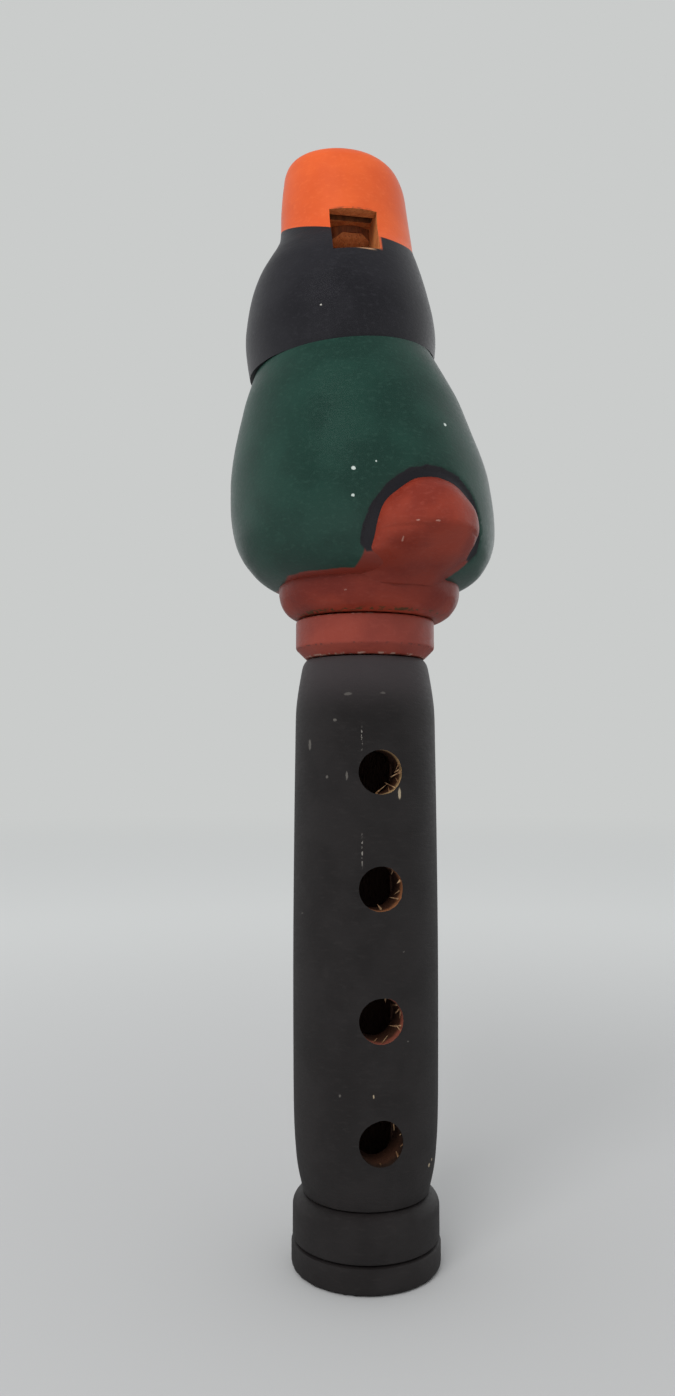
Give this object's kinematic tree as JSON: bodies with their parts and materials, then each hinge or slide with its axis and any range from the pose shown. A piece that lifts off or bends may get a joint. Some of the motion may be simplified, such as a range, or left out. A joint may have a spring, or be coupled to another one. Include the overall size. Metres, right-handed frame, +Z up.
{
  "type": "bird whistle",
  "caption": "Turned wooden flute tube with finger holes under a carved, painted bird whose upturned beak is the mouthpiece of a fipple whistle.",
  "frame": {"origin": "middle of the foot's end face, on the tube's axis", "axes": "+Z up the tube towards the beak; the finger holes and the window face -Y, and the bird's face is on the +Y side"},
  "size_m": [0.0479, 0.0547, 0.1991],
  "materials": {
    "tube_black": "matt black paint on turned wood",
    "red_paint": "satin brick-red paint on wood",
    "green_paint": "satin dark green paint on wood",
    "head_black": "satin blue-black paint on wood",
    "orange_paint": "satin orange paint on wood",
    "raw_wood": "bare reddish-brown wood",
    "cork": "bare cork"
  },
  "bodies": {
    "flute": {"flute_tube": "tube_black", "end_ring": "tube_black", "foot_ring": "tube_black", "lower_ring": "red_paint"},
    "cork": {"tenon_cork": "cork"},
    "bird": {"bird_body": "green_paint", "perch_collar": "red_paint", "tail_knob": "red_paint", "bird_head": "head_black", "beak_mouthpiece": "orange_paint", "fipple_plug": "raw_wood"}
  },
  "joints": [
    {"name": "head_turn", "type": "hinge", "parent": "flute", "child": "cork", "pos_m": [0, 0, 0.1126], "axis": [0, 0, 1], "continuous": true},
    {"name": "head_pull", "type": "slide", "parent": "cork", "child": "bird", "axis": [0, 0, 1], "range_m": [0, 0.02]}
  ]
}
